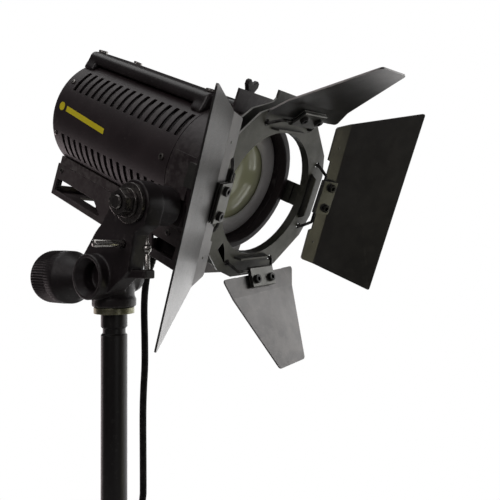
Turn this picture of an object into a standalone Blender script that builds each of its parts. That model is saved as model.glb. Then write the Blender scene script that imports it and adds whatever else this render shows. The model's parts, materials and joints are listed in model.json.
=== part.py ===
"""A small focusing spotlight head with four barndoor leaves, on its yoke and stand riser.

Metres, +Z up. The origin is the centre of the riser's bottom end. The lamp points along +X,
tilted down, and its yoke arm is on the -Y side. Lamp parts are drawn in lamp measures:
x forward along the optical axis, y across, z at right angles to both.
"""

import math

import bmesh
import bpy
from mathutils import Matrix, Vector

GAP = 0.0003  # clearance between touching pieces

# Riser and receiver
RISER_RADIUS = 0.0080
WASHER_Z = 0.2170  # middle of the washer under the receiver
RISER_TOP = WASHER_Z + 0.0360
SOCKET_Z = WASHER_Z + 0.0208  # axis of the spare cross socket
CLAMP_Z = WASHER_Z + 0.0190  # axis of the clamp knob

# Tilt pivot, and the lamp's place on it
PIVOT = Vector((0.0328, 0.0, WASHER_Z + 0.0629))
TILT_DOWN = math.radians(23.5)
PIVOT_IN_LAMP = Vector((0.0275, -0.0552, -0.0240))
ARM_OUTER_Y = -0.0145
ARM_INNER_Y = -0.0023
BOSS_END_Y = 0.0127

# Housing, in lamp measures
HOUSING_RADIUS = 0.0413
HOUSING_WALL = 0.0016
HOUSING_REAR = -0.1086
HOUSING_SEAM = 0.0163
BARREL_FRONT = 0.0390
RIM_FRONT = 0.0450
VENT_FIRST = -0.0960
VENT_PITCH = 0.00723
VENT_COUNT = 16
VENT_WIDTH = 0.0030

# Base box under the housing
BOX_REAR = -0.1100
BOX_FRONT = 0.0380
BOX_HALF = 0.0260
BOX_TOP = -0.0399
BOX_BOTTOM = -0.0643
BOX_WALL = 0.0020
GLAND_X = -0.0135

# Barndoor ring and leaves
RING_FACE = 0.0648
RING_BORE = 0.0388
RING_FLAT = 0.0535
RING_CORNER = 0.0553
RING_TURN = math.radians(4.0)
LEAF_HINGE_X = 0.0715
LEAF_HINGE_R = 0.0469
BAIL_HINGE_X = 0.0658
BAIL_HINGE_R = 0.0430
BAIL_HALF = 0.0212  # half the distance between a bail's two holes
LEAF_THICK = 0.0010
LEAF_LIFT = 0.0012  # from the wire's axis out to the leaf's inner face
BRACKET_HALF = 0.0112
WIRE_RADIUS = 0.0010

# side name: angle round the ring, opening, crooked turn in its own plane, sideways shift, kind
SIDES = {
    "far": (0.0, 73.5, -3.4, 0.0021, "wide"),
    "top": (90.0, 47.7, -0.9, -0.0025, "narrow"),
    "near": (180.0, 74.7, -3.0, 0.0016, "wide"),
    "bottom": (270.0, 54.4, -2.3, 0.0058, "narrow"),
}
# kind: fold angle, then (distance from the hinge, half width) at the hinge edge, fold and end
LEAVES = {
    "wide": (15.6, (-0.0002, 0.0457), (0.0116, 0.0494), (0.0624, 0.0658)),
    "narrow": (11.0, (0.0020, 0.0355), (0.0145, 0.0305), (0.0625, 0.0132)),
}

# Cord: hangs behind the arm, its spare length tied in a coil
CORD_RADIUS = 0.0025
COIL_CENTRE = Vector((-0.0340, 0.0552, 0.0360))
COIL_MEAN = 0.0260
COIL_THICK = 0.0085
PLUG_START = Vector((0.0, 0.0745, 0.0100))  # where the cord enters the plug, which lies along x


# ---------------------------------------------------------------- helpers


def clear_scene():
    for old in list(bpy.data.objects):
        bpy.data.objects.remove(old, do_unlink=True)


def material(name, colour, roughness, metallic=0.0):
    made = bpy.data.materials.new(name)
    made.use_nodes = True
    shader = made.node_tree.nodes["Principled BSDF"]
    shader.inputs["Base Color"].default_value = (*colour, 1.0)
    shader.inputs["Roughness"].default_value = roughness
    shader.inputs["Metallic"].default_value = metallic
    return made


def empty(name, parent=None, place=None):
    made = bpy.data.objects.new(name, None)
    bpy.context.scene.collection.objects.link(made)
    made.parent = parent
    made.matrix_local = place if place is not None else Matrix.Identity(4)
    return made


def finish(name, shape, colour, parent=None, offset=None):
    """Makes an object from a bmesh. offset moves the mesh, so the origin stays on the joint."""
    if offset is not None:
        shape.transform(Matrix.Translation(offset))
    bmesh.ops.recalc_face_normals(shape, faces=shape.faces)
    mesh = bpy.data.meshes.new(name)
    shape.to_mesh(mesh)
    shape.free()
    made = bpy.data.objects.new(name, mesh)
    bpy.context.scene.collection.objects.link(made)
    made.parent = parent
    mesh.materials.append(colour)
    return made


def combine(made, operation, shape, offset=None):
    """Cuts a bmesh out of an object, or joins it on, with an exact Boolean."""
    name = made.name + "_tool_%d" % len(made.modifiers)
    tool = finish(name, shape, made.data.materials[0], made.parent, offset)
    tool.hide_render = True
    tool.display_type = "WIRE"
    step = made.modifiers.new(operation.lower(), "BOOLEAN")
    step.operation = operation
    step.solver = "EXACT"
    step.object = tool


def cut(made, shape, offset=None):
    combine(made, "DIFFERENCE", shape, offset)


def join(made, shape, offset=None):
    combine(made, "UNION", shape, offset)


def axis_turn(axis):
    """The rotation that takes +Z onto the named axis."""
    turns = {
        "x": Matrix.Rotation(math.radians(90), 4, "Y"),
        "y": Matrix.Rotation(math.radians(-90), 4, "X"),
        "z": Matrix.Identity(4),
    }
    return turns[axis]


def turned(profile, axis="z", centre=(0, 0, 0), steps=48):
    """A closed outline of (radius, height) points, turned right round the axis.

    A flat end that reaches the axis becomes one cap, and any other end there comes to a point.
    """
    shape = bmesh.new()
    flat_start = profile[0][0] == 0 and profile[0][1] == profile[1][1]
    flat_end = profile[-1][0] == 0 and profile[-1][1] == profile[-2][1]
    points = profile[1 if flat_start else 0 : -1 if flat_end else None]
    rings = []
    for radius, height in points:
        if radius == 0:
            rings.append([shape.verts.new((0, 0, height))])
            continue
        ring = []
        for i in range(steps):
            angle = 2 * math.pi * i / steps
            ring.append(shape.verts.new((radius * math.cos(angle), radius * math.sin(angle), height)))
        rings.append(ring)
    solid = profile[0][0] == 0
    for first, second in zip(rings, rings[1:] if solid else rings[1:] + rings[:1]):
        for i in range(steps):
            j = (i + 1) % steps
            corners = [row[k % len(row)] for row, k in ((first, i), (first, j), (second, j), (second, i))]
            corners = list(dict.fromkeys(corners))
            if len(corners) > 2:
                shape.faces.new(corners)
    if flat_start:
        shape.faces.new(rings[0])
    if flat_end:
        shape.faces.new(rings[-1])
    shape.transform(Matrix.Translation(Vector(centre)) @ axis_turn(axis))
    return shape


def rod(radius, low, high, axis="z", centre=(0, 0, 0), steps=48, chamfer=0.0):
    """A solid round bar with an optional chamfer on both ends."""
    profile = [(0, low), (radius - chamfer, low), (radius, low + chamfer)]
    profile += [(radius, high - chamfer), (radius - chamfer, high), (0, high)]
    if chamfer == 0:
        profile = [(0, low), (radius, low), (radius, high), (0, high)]
    return turned(profile, axis, centre, steps)


def tube(inner, outer, low, high, axis="z", centre=(0, 0, 0), steps=48):
    return turned([(inner, low), (outer, low), (outer, high), (inner, high)], axis, centre, steps)


def box(low, high):
    shape = bmesh.new()
    bmesh.ops.create_cube(shape, size=1.0)
    low, high = Vector(low), Vector(high)
    size = high - low
    shape.transform(Matrix.Translation((low + high) / 2) @ Matrix.Diagonal((*size, 1.0)))
    return shape


def prism(outline, low, high, plane="yz"):
    """A flat outline pushed along the third axis. plane names the outline's two axes."""
    order = {"yz": (0, 1, 2), "xz": (1, 0, 2), "xy": (2, 0, 1)}[plane]
    shape = bmesh.new()
    ends = []
    for depth in (low, high):
        row = []
        for u, v in outline:
            place = [0.0, 0.0, 0.0]
            place[order[0]], place[order[1]], place[order[2]] = depth, u, v
            row.append(shape.verts.new(place))
        ends.append(row)
    shape.faces.new(ends[0])
    shape.faces.new(ends[1])
    for i in range(len(outline)):
        j = (i + 1) % len(outline)
        shape.faces.new([ends[0][i], ends[0][j], ends[1][j], ends[1][i]])
    return shape


def arc(centre, radius, start, end, steps):
    """Points along an arc, angles in degrees."""
    angles = (math.radians(start + (end - start) * i / steps) for i in range(steps + 1))
    return [(centre[0] + radius * math.cos(a), centre[1] + radius * math.sin(a)) for a in angles]


def merge(first, *others):
    """Puts several separate shapes in one bmesh, for a cutter that cuts many places."""
    for other in others:
        mesh = bpy.data.meshes.new("merge")
        other.to_mesh(mesh)
        other.free()
        first.from_mesh(mesh)
        bpy.data.meshes.remove(mesh)
    return first


def moved(shape, place):
    shape.transform(place)
    return shape


def wire(name, points, radius, colour, parent, smooth=2):
    """A round tube along hand-chosen points, as a curve with a bevel and filled caps."""
    curve = bpy.data.curves.new(name, "CURVE")
    curve.dimensions = "3D"
    curve.bevel_depth = radius
    curve.bevel_resolution = smooth
    curve.use_fill_caps = True
    spline = curve.splines.new("POLY")
    spline.points.add(len(points) - 1)
    for spot, point in zip(spline.points, points):
        spot.co = (*point, 1.0)
    made = bpy.data.objects.new(name, curve)
    bpy.context.scene.collection.objects.link(made)
    made.parent = parent
    curve.materials.append(colour)
    return made


def smooth_path(points, spacing):
    """Even points along a smooth curve through the given points."""
    points = [Vector(p) for p in points]
    ends = [2 * points[0] - points[1]] + points + [2 * points[-1] - points[-2]]
    fine = []
    for p0, p1, p2, p3 in zip(ends, ends[1:], ends[2:], ends[3:]):
        for i in range(20):
            t = i / 20
            square = 2 * p0 - 5 * p1 + 4 * p2 - p3
            cube = 3 * p1 - p0 - 3 * p2 + p3
            fine.append(0.5 * (2 * p1 + (p2 - p0) * t + square * t**2 + cube * t**3))
    fine.append(points[-1])
    length = sum((b - a).length for a, b in zip(fine, fine[1:]))
    count = max(2, round(length / spacing))
    made, walked, target = [fine[0]], 0.0, length / count
    for a, b in zip(fine, fine[1:]):
        step = (b - a).length
        while walked + step >= target - 1e-9 and len(made) < count:
            made.append(a.lerp(b, (target - walked) / step))
            target += length / count
        walked += step
    made.append(fine[-1])
    return made


# ---------------------------------------------------------------- riser and yoke


def make_riser(colours):
    groove = WASHER_Z - 0.0125
    profile = [(0, 0), (0.0070, 0), (RISER_RADIUS, 0.0010), (RISER_RADIUS, groove - 0.0025)]
    profile += [(0.0069, groove - 0.0014), (0.0069, groove + 0.0014), (RISER_RADIUS, groove + 0.0025)]
    profile += [(RISER_RADIUS, RISER_TOP - 0.0012), (0.0068, RISER_TOP), (0, RISER_TOP)]
    finish("riser_tube", turned(profile, steps=36), colours["pole"])


def arm_outline():
    """The yoke arm seen from the side, x and z relative to the pan axis and the world floor."""
    pivot = (PIVOT.x, PIVOT.z)
    outline = arc(pivot, 0.0135, 130, -10, 14)
    outline += [(0.0425, WASHER_Z + 0.0500), (0.0338, WASHER_Z + 0.0455), (0.0290, WASHER_Z + 0.0240)]
    outline += [(0.0110, WASHER_Z + 0.0110), (-0.0070, WASHER_Z + 0.0110), (-0.0118, WASHER_Z + 0.0335)]
    outline += [(0.0003, WASHER_Z + 0.0478), (0.0053, WASHER_Z + 0.0520), (0.0150, WASHER_Z + 0.0640)]
    return outline


def make_yoke(colours, pan):
    """The receiver that grips the riser, cast in one with the one-sided tilt arm."""
    low = WASHER_Z + 0.0022
    profile = [(0, low), (0.0127, low), (0.0134, low + 0.0008), (0.0134, low + 0.0048)]
    profile += [(0.0124, low + 0.0066), (0.0122, WASHER_Z + 0.0400)]
    profile += [(0.0105, WASHER_Z + 0.0432), (0, WASHER_Z + 0.0432)]
    arm = prism(arm_outline(), ARM_OUTER_Y, ARM_INNER_Y, "xz")
    casting = finish("yoke_casting", arm, colours["cast"], pan)
    join(casting, rod(0.0121, ARM_OUTER_Y + 0.0011, BOSS_END_Y, "y", (PIVOT.x, 0, PIVOT.z), 32, 0.0006))
    stud_hole = rod(0.0044, -0.0310, 0.0210, "y", (PIVOT.x, 0, PIVOT.z), steps=24)
    pin_hole = rod(0.0024, -0.0300, 0.0030, "y", (0.0248, 0, WASHER_Z + 0.0402), steps=16)
    cut(casting, merge(stud_hole, pin_hole))
    join(casting, turned(profile, steps=36))
    lug_low = (0.0200, ARM_OUTER_Y + 0.0020, WASHER_Z + 0.0205)
    join(casting, box(lug_low, (0.0410, -0.0045, WASHER_Z + 0.0255)))
    cross = [(0, -0.0210), (0.0130, -0.0210), (0.0136, -0.0204), (0.0135, -0.0150), (0.0118, 0.0020)]
    cross += [(0.0112, 0.0120), (0.0100, 0.0160), (0, 0.0160)]
    join(casting, turned(cross, "y", (0, 0, SOCKET_Z), steps=32))
    join(casting, rod(0.0098, -0.0163, -0.0020, "x", (0, 0, CLAMP_Z), 24, 0.0005))
    cut(casting, rod(0.00835, WASHER_Z - 0.0100, RISER_TOP + 0.0008, "z", steps=40))
    mouth = [(0, -0.0300), (0.0114, -0.0300), (0.0114, -0.0206), (0.0104, -0.0190)]
    mouth += [(0.0086, -0.0160), (0.0086, -0.0097), (0, -0.0097)]
    cut(casting, turned(mouth, "y", (0, 0, SOCKET_Z), steps=28))
    cut(casting, rod(0.0044, -0.0300, -0.0060, "x", (0, 0, CLAMP_Z), steps=24))

    washer = tube(0.0084, 0.0123, WASHER_Z - 0.0019, WASHER_Z + 0.0019, steps=36)
    finish("receiver_washer", washer, colours["brass"], pan)
    pin = rod(0.0021, -0.0350, -0.0026, "y", (0.0248, 0, WASHER_Z + 0.0402), steps=20, chamfer=0.0006)
    finish("cross_pin", pin, colours["steel"], pan)
    post_low = WASHER_Z + 0.0258
    post = [(0, post_low), (0.0017, post_low), (0.0017, post_low + 0.0075), (0.0011, post_low + 0.0085)]
    post += [(0.0026, post_low + 0.0105), (0.0026, post_low + 0.0130), (0.0011, post_low + 0.0150)]
    post += [(0.0011, post_low + 0.0175), (0, post_low + 0.0180)]
    finish("keeper_post", turned(post, "z", (0.0380, -0.0080, 0), steps=16), colours["steel"], pan)


def make_clamp_knob(colours, axis):
    """Ribbed knob and its screw. The knob's own x runs from the screw tip outwards as -x."""
    ribs = 28
    outline = []
    for i in range(ribs):
        for part, radius in ((0.0, 0.0176), (0.5, 0.0176), (0.75, 0.0167)):
            angle = 2 * math.pi * (i + part) / ribs
            outline.append((radius * math.cos(angle), radius * math.sin(angle)))
    knob = finish("clamp_knob", prism(outline, -0.0640, -0.0435, "yz"), colours["plastic"], axis)
    cap = [(0, -0.0655), (0.0150, -0.0655), (0.0166, -0.0642), (0.0166, -0.0630), (0, -0.0630)]
    join(knob, turned(cap, "x", steps=28))
    neck = [(0, -0.0440), (0.0174, -0.0440), (0.0174, -0.0410), (0.0160, -0.0395), (0.0110, -0.0300)]
    neck += [(0.0092, -0.0270), (0.0092, -0.0166), (0, -0.0166)]
    join(knob, turned(neck, "x", steps=28))
    cut(knob, rod(0.0043, -0.0300, -0.0100, "x", steps=24))
    screw = rod(0.0040, -0.0297, -0.0085, "x", steps=24, chamfer=0.0005)
    finish("clamp_screw", screw, colours["steel"], axis)


def make_tilt_lock(colours, pan, lock):
    centre = (PIVOT.x, 0, PIVOT.z)
    disc_face = ARM_OUTER_Y - 0.0028
    outer = tube(0.0045, 0.0116, disc_face, ARM_OUTER_Y - GAP, "y", centre, steps=32)
    finish("friction_disc", outer, colours["steel_dark"], pan)
    washer_face = disc_face - GAP - 0.0016
    inner = tube(0.0045, 0.0084, washer_face, disc_face - GAP, "y", centre, steps=24)
    finish("lock_washer", inner, colours["steel_dark"], pan)
    high = washer_face - GAP
    hexagon = arc((0, 0), 0.0076, 15, 315, 5)
    nut = finish("tilt_lock_nut", prism(hexagon, high - 0.0056, high, "xz"), colours["steel_dark"], lock)
    cut(nut, rod(0.0043, -0.0400, 0.0, "y", steps=24))


# ---------------------------------------------------------------- lamp head


def vent_cutter(start, end):
    """One row of arc-shaped slots between two angles, up from the -Y side, in lamp measures."""
    slots = []
    inner, outer = HOUSING_RADIUS - 0.0060, HOUSING_RADIUS + 0.0060
    outline = [(-outer * math.cos(a), outer * math.sin(a)) for a in map(math.radians, (start, end))]
    outline += [(-inner * math.cos(a), inner * math.sin(a)) for a in map(math.radians, (end, start))]
    for i in range(VENT_COUNT):
        place = VENT_FIRST + i * VENT_PITCH
        slots.append(prism(outline, place - VENT_WIDTH / 2, place + VENT_WIDTH / 2, "yz"))
    return merge(*slots)


def make_housing(colours, tilt, lamp):
    inner = HOUSING_RADIUS - HOUSING_WALL
    profile = [(inner, HOUSING_REAR), (HOUSING_RADIUS - 0.0006, HOUSING_REAR)]
    profile += [(HOUSING_RADIUS, HOUSING_REAR + 0.0006), (HOUSING_RADIUS, HOUSING_SEAM)]
    profile += [(inner, HOUSING_SEAM)]
    shell = finish("housing_shell", turned(profile, "x", steps=60), colours["housing"], tilt, lamp)
    for start, end in ((23.2, 48.2), (-45.5, -21.7), (131.8, 156.8), (201.7, 225.5)):
        cut(shell, vent_cutter(start, end), lamp)
    cut(shell, box((-0.0900, -0.0042, -0.0500), (-0.0200, 0.0042, -0.0300)), lamp)

    cover = rod(inner - GAP, HOUSING_REAR + 0.0010, HOUSING_REAR + 0.0030, "x", steps=40)
    cover = finish("rear_cover", cover, colours["housing"], tilt, lamp)
    slots = []
    for i in range(5):
        level = -0.0200 + 0.0100 * i
        half = 0.0240 - 0.0002 * abs(i - 2)
        slots.append(box((-0.1100, -half, level - 0.0018), (-0.1000, half, level + 0.0018)))
    cut(cover, merge(*slots), lamp)

    rim, high, low = inner - GAP, 0.0120, HOUSING_REAR + 0.0046
    profile = [(0.0364, low), (rim, low), (rim, low + 0.0010), (0.0374, low + 0.0010)]
    profile += [(0.0374, high - 0.0010), (rim, high - 0.0010), (rim, high), (0.0364, high)]
    shield = finish("heat_shield", turned(profile, "x", steps=48), colours["housing"], tilt, lamp)
    cut(shield, box((-0.0910, -0.0046, -0.0500), (-0.0190, 0.0046, -0.0300)), lamp)

    low = HOUSING_SEAM + GAP
    profile = [(inner, low), (HOUSING_RADIUS, low), (HOUSING_RADIUS, BARREL_FRONT), (inner, BARREL_FRONT)]
    finish("lens_barrel", turned(profile, "x", steps=60), colours["housing"], tilt, lamp)
    low = BARREL_FRONT + GAP
    profile = [(inner, low), (0.0437, low), (0.0447, low + 0.0010), (0.0447, RIM_FRONT - 0.0008)]
    profile += [(0.0439, RIM_FRONT), (0.0402, RIM_FRONT), (inner, RIM_FRONT - 0.0007)]
    finish("front_rim", turned(profile, "x", steps=48), colours["housing"], tilt, lamp)


def make_optics(colours, tilt, lamp, carriage):
    hold = tube(0.0322, HOUSING_RADIUS - HOUSING_WALL - GAP, 0.0285, 0.0330, "x", steps=40)
    hold = finish("lens_bezel", hold, colours["bezel"], tilt, lamp)
    cut(hold, tube(0.0290, 0.0338, 0.0277, 0.0308, "x", steps=40), lamp)
    dome = [(0, 0.0210), (0.0200, 0.0205), (0.0330, 0.0218), (0.0330, 0.0300)]
    for angle in range(0, 90, 22):
        turn = math.radians(angle)
        dome.append((0.0316 * math.cos(turn), 0.0300 + 0.0085 * math.sin(turn)))
    dome += [(0, 0.0385)]
    finish("front_lens", turned(dome, "x", steps=32), colours["glass"], tilt, lamp)

    stem = box((-0.0680, -0.0030, -0.0560), (-0.0600, 0.0030, -0.0105))
    knob = box((-0.0780, -0.0080, -0.0640), (-0.0500, 0.0080, -0.0550))
    slider = finish("focus_slider", knob, colours["plastic"], carriage, lamp)
    join(slider, stem, lamp)
    socket = [(0, -0.0760), (0.0085, -0.0760), (0.0102, -0.0740), (0.0102, -0.0520), (0, -0.0520)]
    finish("lamp_socket", turned(socket, "x", steps=32), colours["ceramic"], carriage, lamp)
    bulb = [(0, -0.0517), (0.0040, -0.0517), (0.0040, -0.0440), (0.0062, -0.0410), (0.0062, -0.0280)]
    bulb += [(0.0040, -0.0245), (0, -0.0230)]
    finish("halogen_bulb", turned(bulb, "x", steps=24), colours["bulb"], carriage, lamp)
    outer = [(0.0110, -0.0500), (0.0190, -0.0470), (0.0255, -0.0400), (0.0290, -0.0300)]
    inside = [(radius - 0.0012, place + 0.0010) for radius, place in reversed(outer[:-1])]
    bowl = outer + [(0.0278, -0.0300)] + inside
    finish("reflector_bowl", turned(bowl, "x", steps=32), colours["mirror"], carriage, lamp)


def make_base(colours, tilt, lamp):
    base = box((BOX_REAR, -BOX_HALF, BOX_BOTTOM), (BOX_FRONT, BOX_HALF, BOX_TOP))
    base = finish("base_box", base, colours["housing"], tilt, lamp)
    low = (BOX_REAR + BOX_WALL, -BOX_HALF + BOX_WALL, BOX_BOTTOM + BOX_WALL)
    high = (BOX_FRONT - BOX_WALL, BOX_HALF - BOX_WALL, BOX_TOP + 0.0100)
    cut(base, box(low, high), lamp)
    cut(base, rod(HOUSING_RADIUS + 0.0006, -0.2000, 0.2000, "x", steps=60), lamp)
    slot = [(-0.1068, -0.0525), (-0.1060, -0.0512), (-0.0600, -0.0512)]
    slot += [(-0.0500, -0.0585), (-0.0510, -0.0603), (-0.1068, -0.0603)]
    vent = [(0.0050, -0.0500), (0.0290, -0.0500), (0.0290, -0.0590), (0.0090, -0.0590)]
    cut(base, merge(prism(slot, -0.05, 0.05, "xz"), prism(vent, -0.05, 0.05, "xz")), lamp)
    cut(base, box((-0.0980, -0.0090, -0.0700), (-0.0180, 0.0090, -0.0600)), lamp)
    cut(base, box((-0.1200, -0.0200, -0.0575), (-0.1050, 0.0100, -0.0495)), lamp)
    plate = box((-0.1040, 0.0120, -0.0615), (-0.0160, 0.0135, -0.0455))
    finish("guide_plate", plate, colours["housing"], tilt, lamp)
    block = box((0.0010, -0.0150, -0.0615), (0.0330, 0.0150, -0.0455))
    block = finish("terminal_block", block, colours["plastic"], tilt, lamp)
    cut(block, merge(*(box((0.0050 + 0.0090 * i, -0.0120, -0.0480), (0.0110 + 0.0090 * i, 0.0120, -0.0440))
                       for i in range(3))), lamp)

    top, web = -0.0335, BOX_TOP - 0.0037
    inside = BOX_HALF - BOX_WALL - GAP
    outline = [(-0.0264, BOX_TOP + GAP), (-inside, BOX_TOP + GAP), (-inside, web), (inside, web)]
    outline += [(inside, BOX_TOP + GAP), (0.0264, BOX_TOP + GAP), (0.0264, top), (-0.0264, top)]
    saddle = prism(outline, BOX_REAR + 0.0030, BOX_FRONT - 0.0030, "yz")
    saddle = finish("saddle_rail", saddle, colours["housing"], tilt, lamp)
    cut(saddle, rod(HOUSING_RADIUS + GAP, -0.2000, 0.2000, "x", steps=60), lamp)
    cut(saddle, box((-0.0900, -0.0042, -0.0500), (-0.0200, 0.0042, -0.0300)), lamp)

    gland = [(0, BOX_BOTTOM - 0.0085), (0.0036, BOX_BOTTOM - 0.0085), (0.0052, BOX_BOTTOM - 0.0040)]
    gland += [(0.0064, BOX_BOTTOM - 0.0020), (0.0064, BOX_BOTTOM - GAP), (0, BOX_BOTTOM - GAP)]
    finish("cord_gland", turned(gland, "z", (GLAND_X, 0, 0), steps=24), colours["rubber"], tilt, lamp)


def make_handle(colours, tilt, lamp):
    """A wide strap over the top, standing on a lug at each end."""
    right = [(0.0268, 0.0300), (0.0232, 0.0392), (0.0225, 0.0434), (0.0205, 0.0454), (0.0140, 0.0462)]
    outline = right + [(-y, z) for y, z in reversed(right)]
    handle = finish("top_handle", prism(outline, HOUSING_REAR, 0.0145, "yz"), colours["handle"], tilt, lamp)
    cut(handle, rod(HOUSING_RADIUS + GAP, -0.2000, 0.2000, "x", steps=96), lamp)
    under = [(0.0300, 0.0250), (0.0300, 0.0381), (0.0193, 0.0381), (0.0183, 0.0434)]
    under = under + [(-y, z) for y, z in reversed(under)]
    cut(handle, prism(under, -0.0990, 0.0050, "yz"), lamp)


def make_side_mount(colours, tilt, lamp):
    """The block on the barrel's side that takes the tilt stud, and the stud itself."""
    block = box((0.0165, -0.0395, -0.0331), (0.0385, -0.0200, -0.0060))
    block = finish("side_mount", block, colours["housing"], tilt, lamp)
    join(block, box((0.0205, -0.0421, -0.0165), (0.0385, -0.0200, 0.0095)), lamp)
    cut(block, rod(HOUSING_RADIUS + GAP, -0.2000, 0.2000, "x", steps=96), lamp)
    cut(block, rod(0.0043, -0.0100, 0.0193, "y", steps=24))
    shoulder = BOSS_END_Y + GAP
    stud = [(0, -0.0266), (0.0034, -0.0266), (0.0040, -0.0258), (0.0040, shoulder), (0.0062, shoulder)]
    stud += [(0.0062, shoulder + 0.0024), (0.0040, shoulder + 0.0024), (0.0040, 0.0190), (0, 0.0190)]
    finish("tilt_stud", turned(stud, "y", steps=24), colours["steel_dark"], tilt)


def make_holder(colours, tilt, lamp, thumb):
    """Accessory holder: a plate with a top tab, on four claws that carry the barndoor ring."""
    outline = ring_outline(0.0530, 0.0545)
    tab = [(0.0105, 0.0560), (0.0105, 0.0607), (-0.0105, 0.0607), (-0.0105, 0.0560)]
    plate = prism(outline[:5] + tab + outline[5:], 0.0545, 0.0560, "yz")
    frame = finish("holder_frame", plate, colours["ring"], tilt, lamp)
    for i in range(4):
        turn = Matrix.Rotation(math.radians(90 * i), 4, "X")
        join(frame, moved(box((0.0396, 0.0450, -0.0072), (0.0626, 0.0476, 0.0072)), turn), lamp)
        join(frame, moved(box((0.0610, 0.0425, -0.0072), (0.0626, 0.0470, 0.0072)), turn), lamp)
        join(frame, moved(box((0.0572, 0.0425, -0.0072), (0.0589, 0.0470, 0.0072)), turn), lamp)
    cut(frame, rod(0.0450, 0.0300, 0.0565, "x", steps=48), lamp)
    cut(frame, rod(0.0464, 0.0500, 0.0568, "x", steps=48), lamp)

    plate = box((0.0306, -0.0170, 0.0410), (0.0322, 0.0170, 0.0545))
    lug = finish("top_lug", plate, colours["housing"], tilt, lamp)
    join(lug, box((0.0200, -0.0090, 0.0400), (0.0315, 0.0090, 0.0440)), lamp)
    cut(lug, rod(HOUSING_RADIUS + GAP, -0.2000, 0.2000, "x", steps=96), lamp)
    cut(lug, rod(0.0023, 0.0380, 0.0500, "z", (0.0255, 0, 0), steps=20), lamp)
    shaft = [(0, 0.0418), (0.0020, 0.0418), (0.0020, 0.0443), (0.0036, 0.0443)]
    shaft += [(0.0036, 0.0530), (0.0026, 0.0540), (0, 0.0540)]
    screw = finish("thumb_screw", turned(shaft, "z", steps=20), colours["plastic"], thumb)
    half = [(0.0, 0.0528), (0.0034, 0.0535), (0.0072, 0.0580)]
    half += [(0.0070, 0.0606), (0.0046, 0.0618), (0.0, 0.0590)]
    wings = half + [(-y, z) for y, z in reversed(half[1:-1])]
    join(screw, prism(wings, -0.0016, 0.0016, "yz"))


def ring_outline(flat, corner):
    """An octagon with clipped corners."""
    half = math.degrees(math.acos(flat / corner))
    outline = []
    for i in range(8):
        for side in (-half, half):
            angle = math.radians(45 * i + side)
            outline.append((corner * math.cos(angle), corner * math.sin(angle)))
    return outline


# ---------------------------------------------------------------- barndoors


def make_ring(colours, ring):
    """The turning ring plate with its hoop, rear flange, stop tabs and wire holes."""
    plate = prism(ring_outline(RING_FLAT, RING_CORNER), RING_FACE - 0.0016, RING_FACE, "yz")
    plate = finish("barndoor_ring", plate, colours["ring"], ring)
    hoop = [(0.0330, 0.0593), (0.0444, 0.0593), (0.0444, 0.0606), (0.0409, 0.0606)]
    hoop += [(0.0409, 0.0640), (0.0330, 0.0640)]
    join(plate, turned(hoop, "x", steps=48))
    tab = [(RING_FACE - 0.0008, -0.0160), (RING_FACE + 0.0038, -0.0130)]
    tab += [(RING_FACE + 0.0038, 0.0130), (RING_FACE - 0.0008, 0.0160)]
    holes = []
    for i in range(4):
        turn = Matrix.Rotation(math.radians(90 * i), 4, "X")
        join(plate, moved(prism(tab, 0.0398, 0.0410, "xz"), turn))
        for side in (-1, 1):
            hole = rod(0.0020, 0.0600, 0.0680, "x", (0, BAIL_HINGE_R, side * BAIL_HALF), steps=12)
            holes.append(moved(hole, turn))
    cut(plate, merge(*holes))
    cut(plate, rod(RING_BORE, 0.0500, 0.0700, "x", steps=48))


def make_bail(colours, side, axis):
    """Bent wire between the ring and one leaf, drawn from its hinge line on the ring."""
    hook = -0.0029
    rise, lift = LEAF_HINGE_X - BAIL_HINGE_X, LEAF_HINGE_R - BAIL_HINGE_R
    half = [(hook, 0, BAIL_HALF), (0, 0, BAIL_HALF), (0.0010, 0.0006, BAIL_HALF - 0.0005)]
    half += [(rise - 0.0012, lift - 0.0008, 0.0172), (rise, lift, 0.0160), (rise, lift, 0.0100)]
    path = half + [(x, y, -z) for x, y, z in reversed(half)]
    wire("bail_wire_" + side, path, WIRE_RADIUS, colours["wire"], axis)


def leaf_edge(kind):
    """The leaf's flat outline, as (distance from the hinge, half width) down one side."""
    (near, near_half), (fold, fold_half), (end, end_half) = LEAVES[kind][1:]
    notch = 0.0022  # the hinge edge steps back where the wire's arms pass
    edge = [(max(near, notch), 0.0235), (near, 0.0245), (near, near_half - 0.0025)]
    return edge + [(near + 0.0025, near_half), (fold, fold_half), (end, end_half)]


def folded(kind, height):
    """Takes a point of the flat outline to the folded sheet, height above its inner face."""
    angle = math.radians(LEAVES[kind][0])
    fold = LEAVES[kind][2][0]
    square = Vector((math.sin(angle / 2), math.cos(angle / 2)))

    def place(x, z):
        if x < fold - 1e-9:
            return Vector((x, LEAF_LIFT + height, z))
        along = max(x - fold, 0.0)
        start = Vector((fold, LEAF_LIFT)) + square * height / math.cos(angle / 2)
        return Vector((start.x + along * math.cos(angle), start.y - along * math.sin(angle), z))

    return place


def leaf_sheet(kind):
    """The whole leaf as one closed sheet: a hinge strip and the main sheet, folded on a line."""
    side = leaf_edge(kind)
    loop = side + [(x, -z) for x, z in reversed(side)]
    strip = list(range(5)) + list(range(7, 12))
    shape = bmesh.new()
    layers = []
    for height in (0.0, LEAF_THICK):
        place = folded(kind, height)
        layer = [shape.verts.new(place(x, z)) for x, z in loop]
        shape.faces.new([layer[i] for i in strip])
        shape.faces.new([layer[i] for i in (4, 5, 6, 7)])
        layers.append(layer)
    for i in range(len(loop)):
        j = (i + 1) % len(loop)
        shape.faces.new([layers[0][i], layers[0][j], layers[1][j], layers[1][i]])
    return shape


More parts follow.
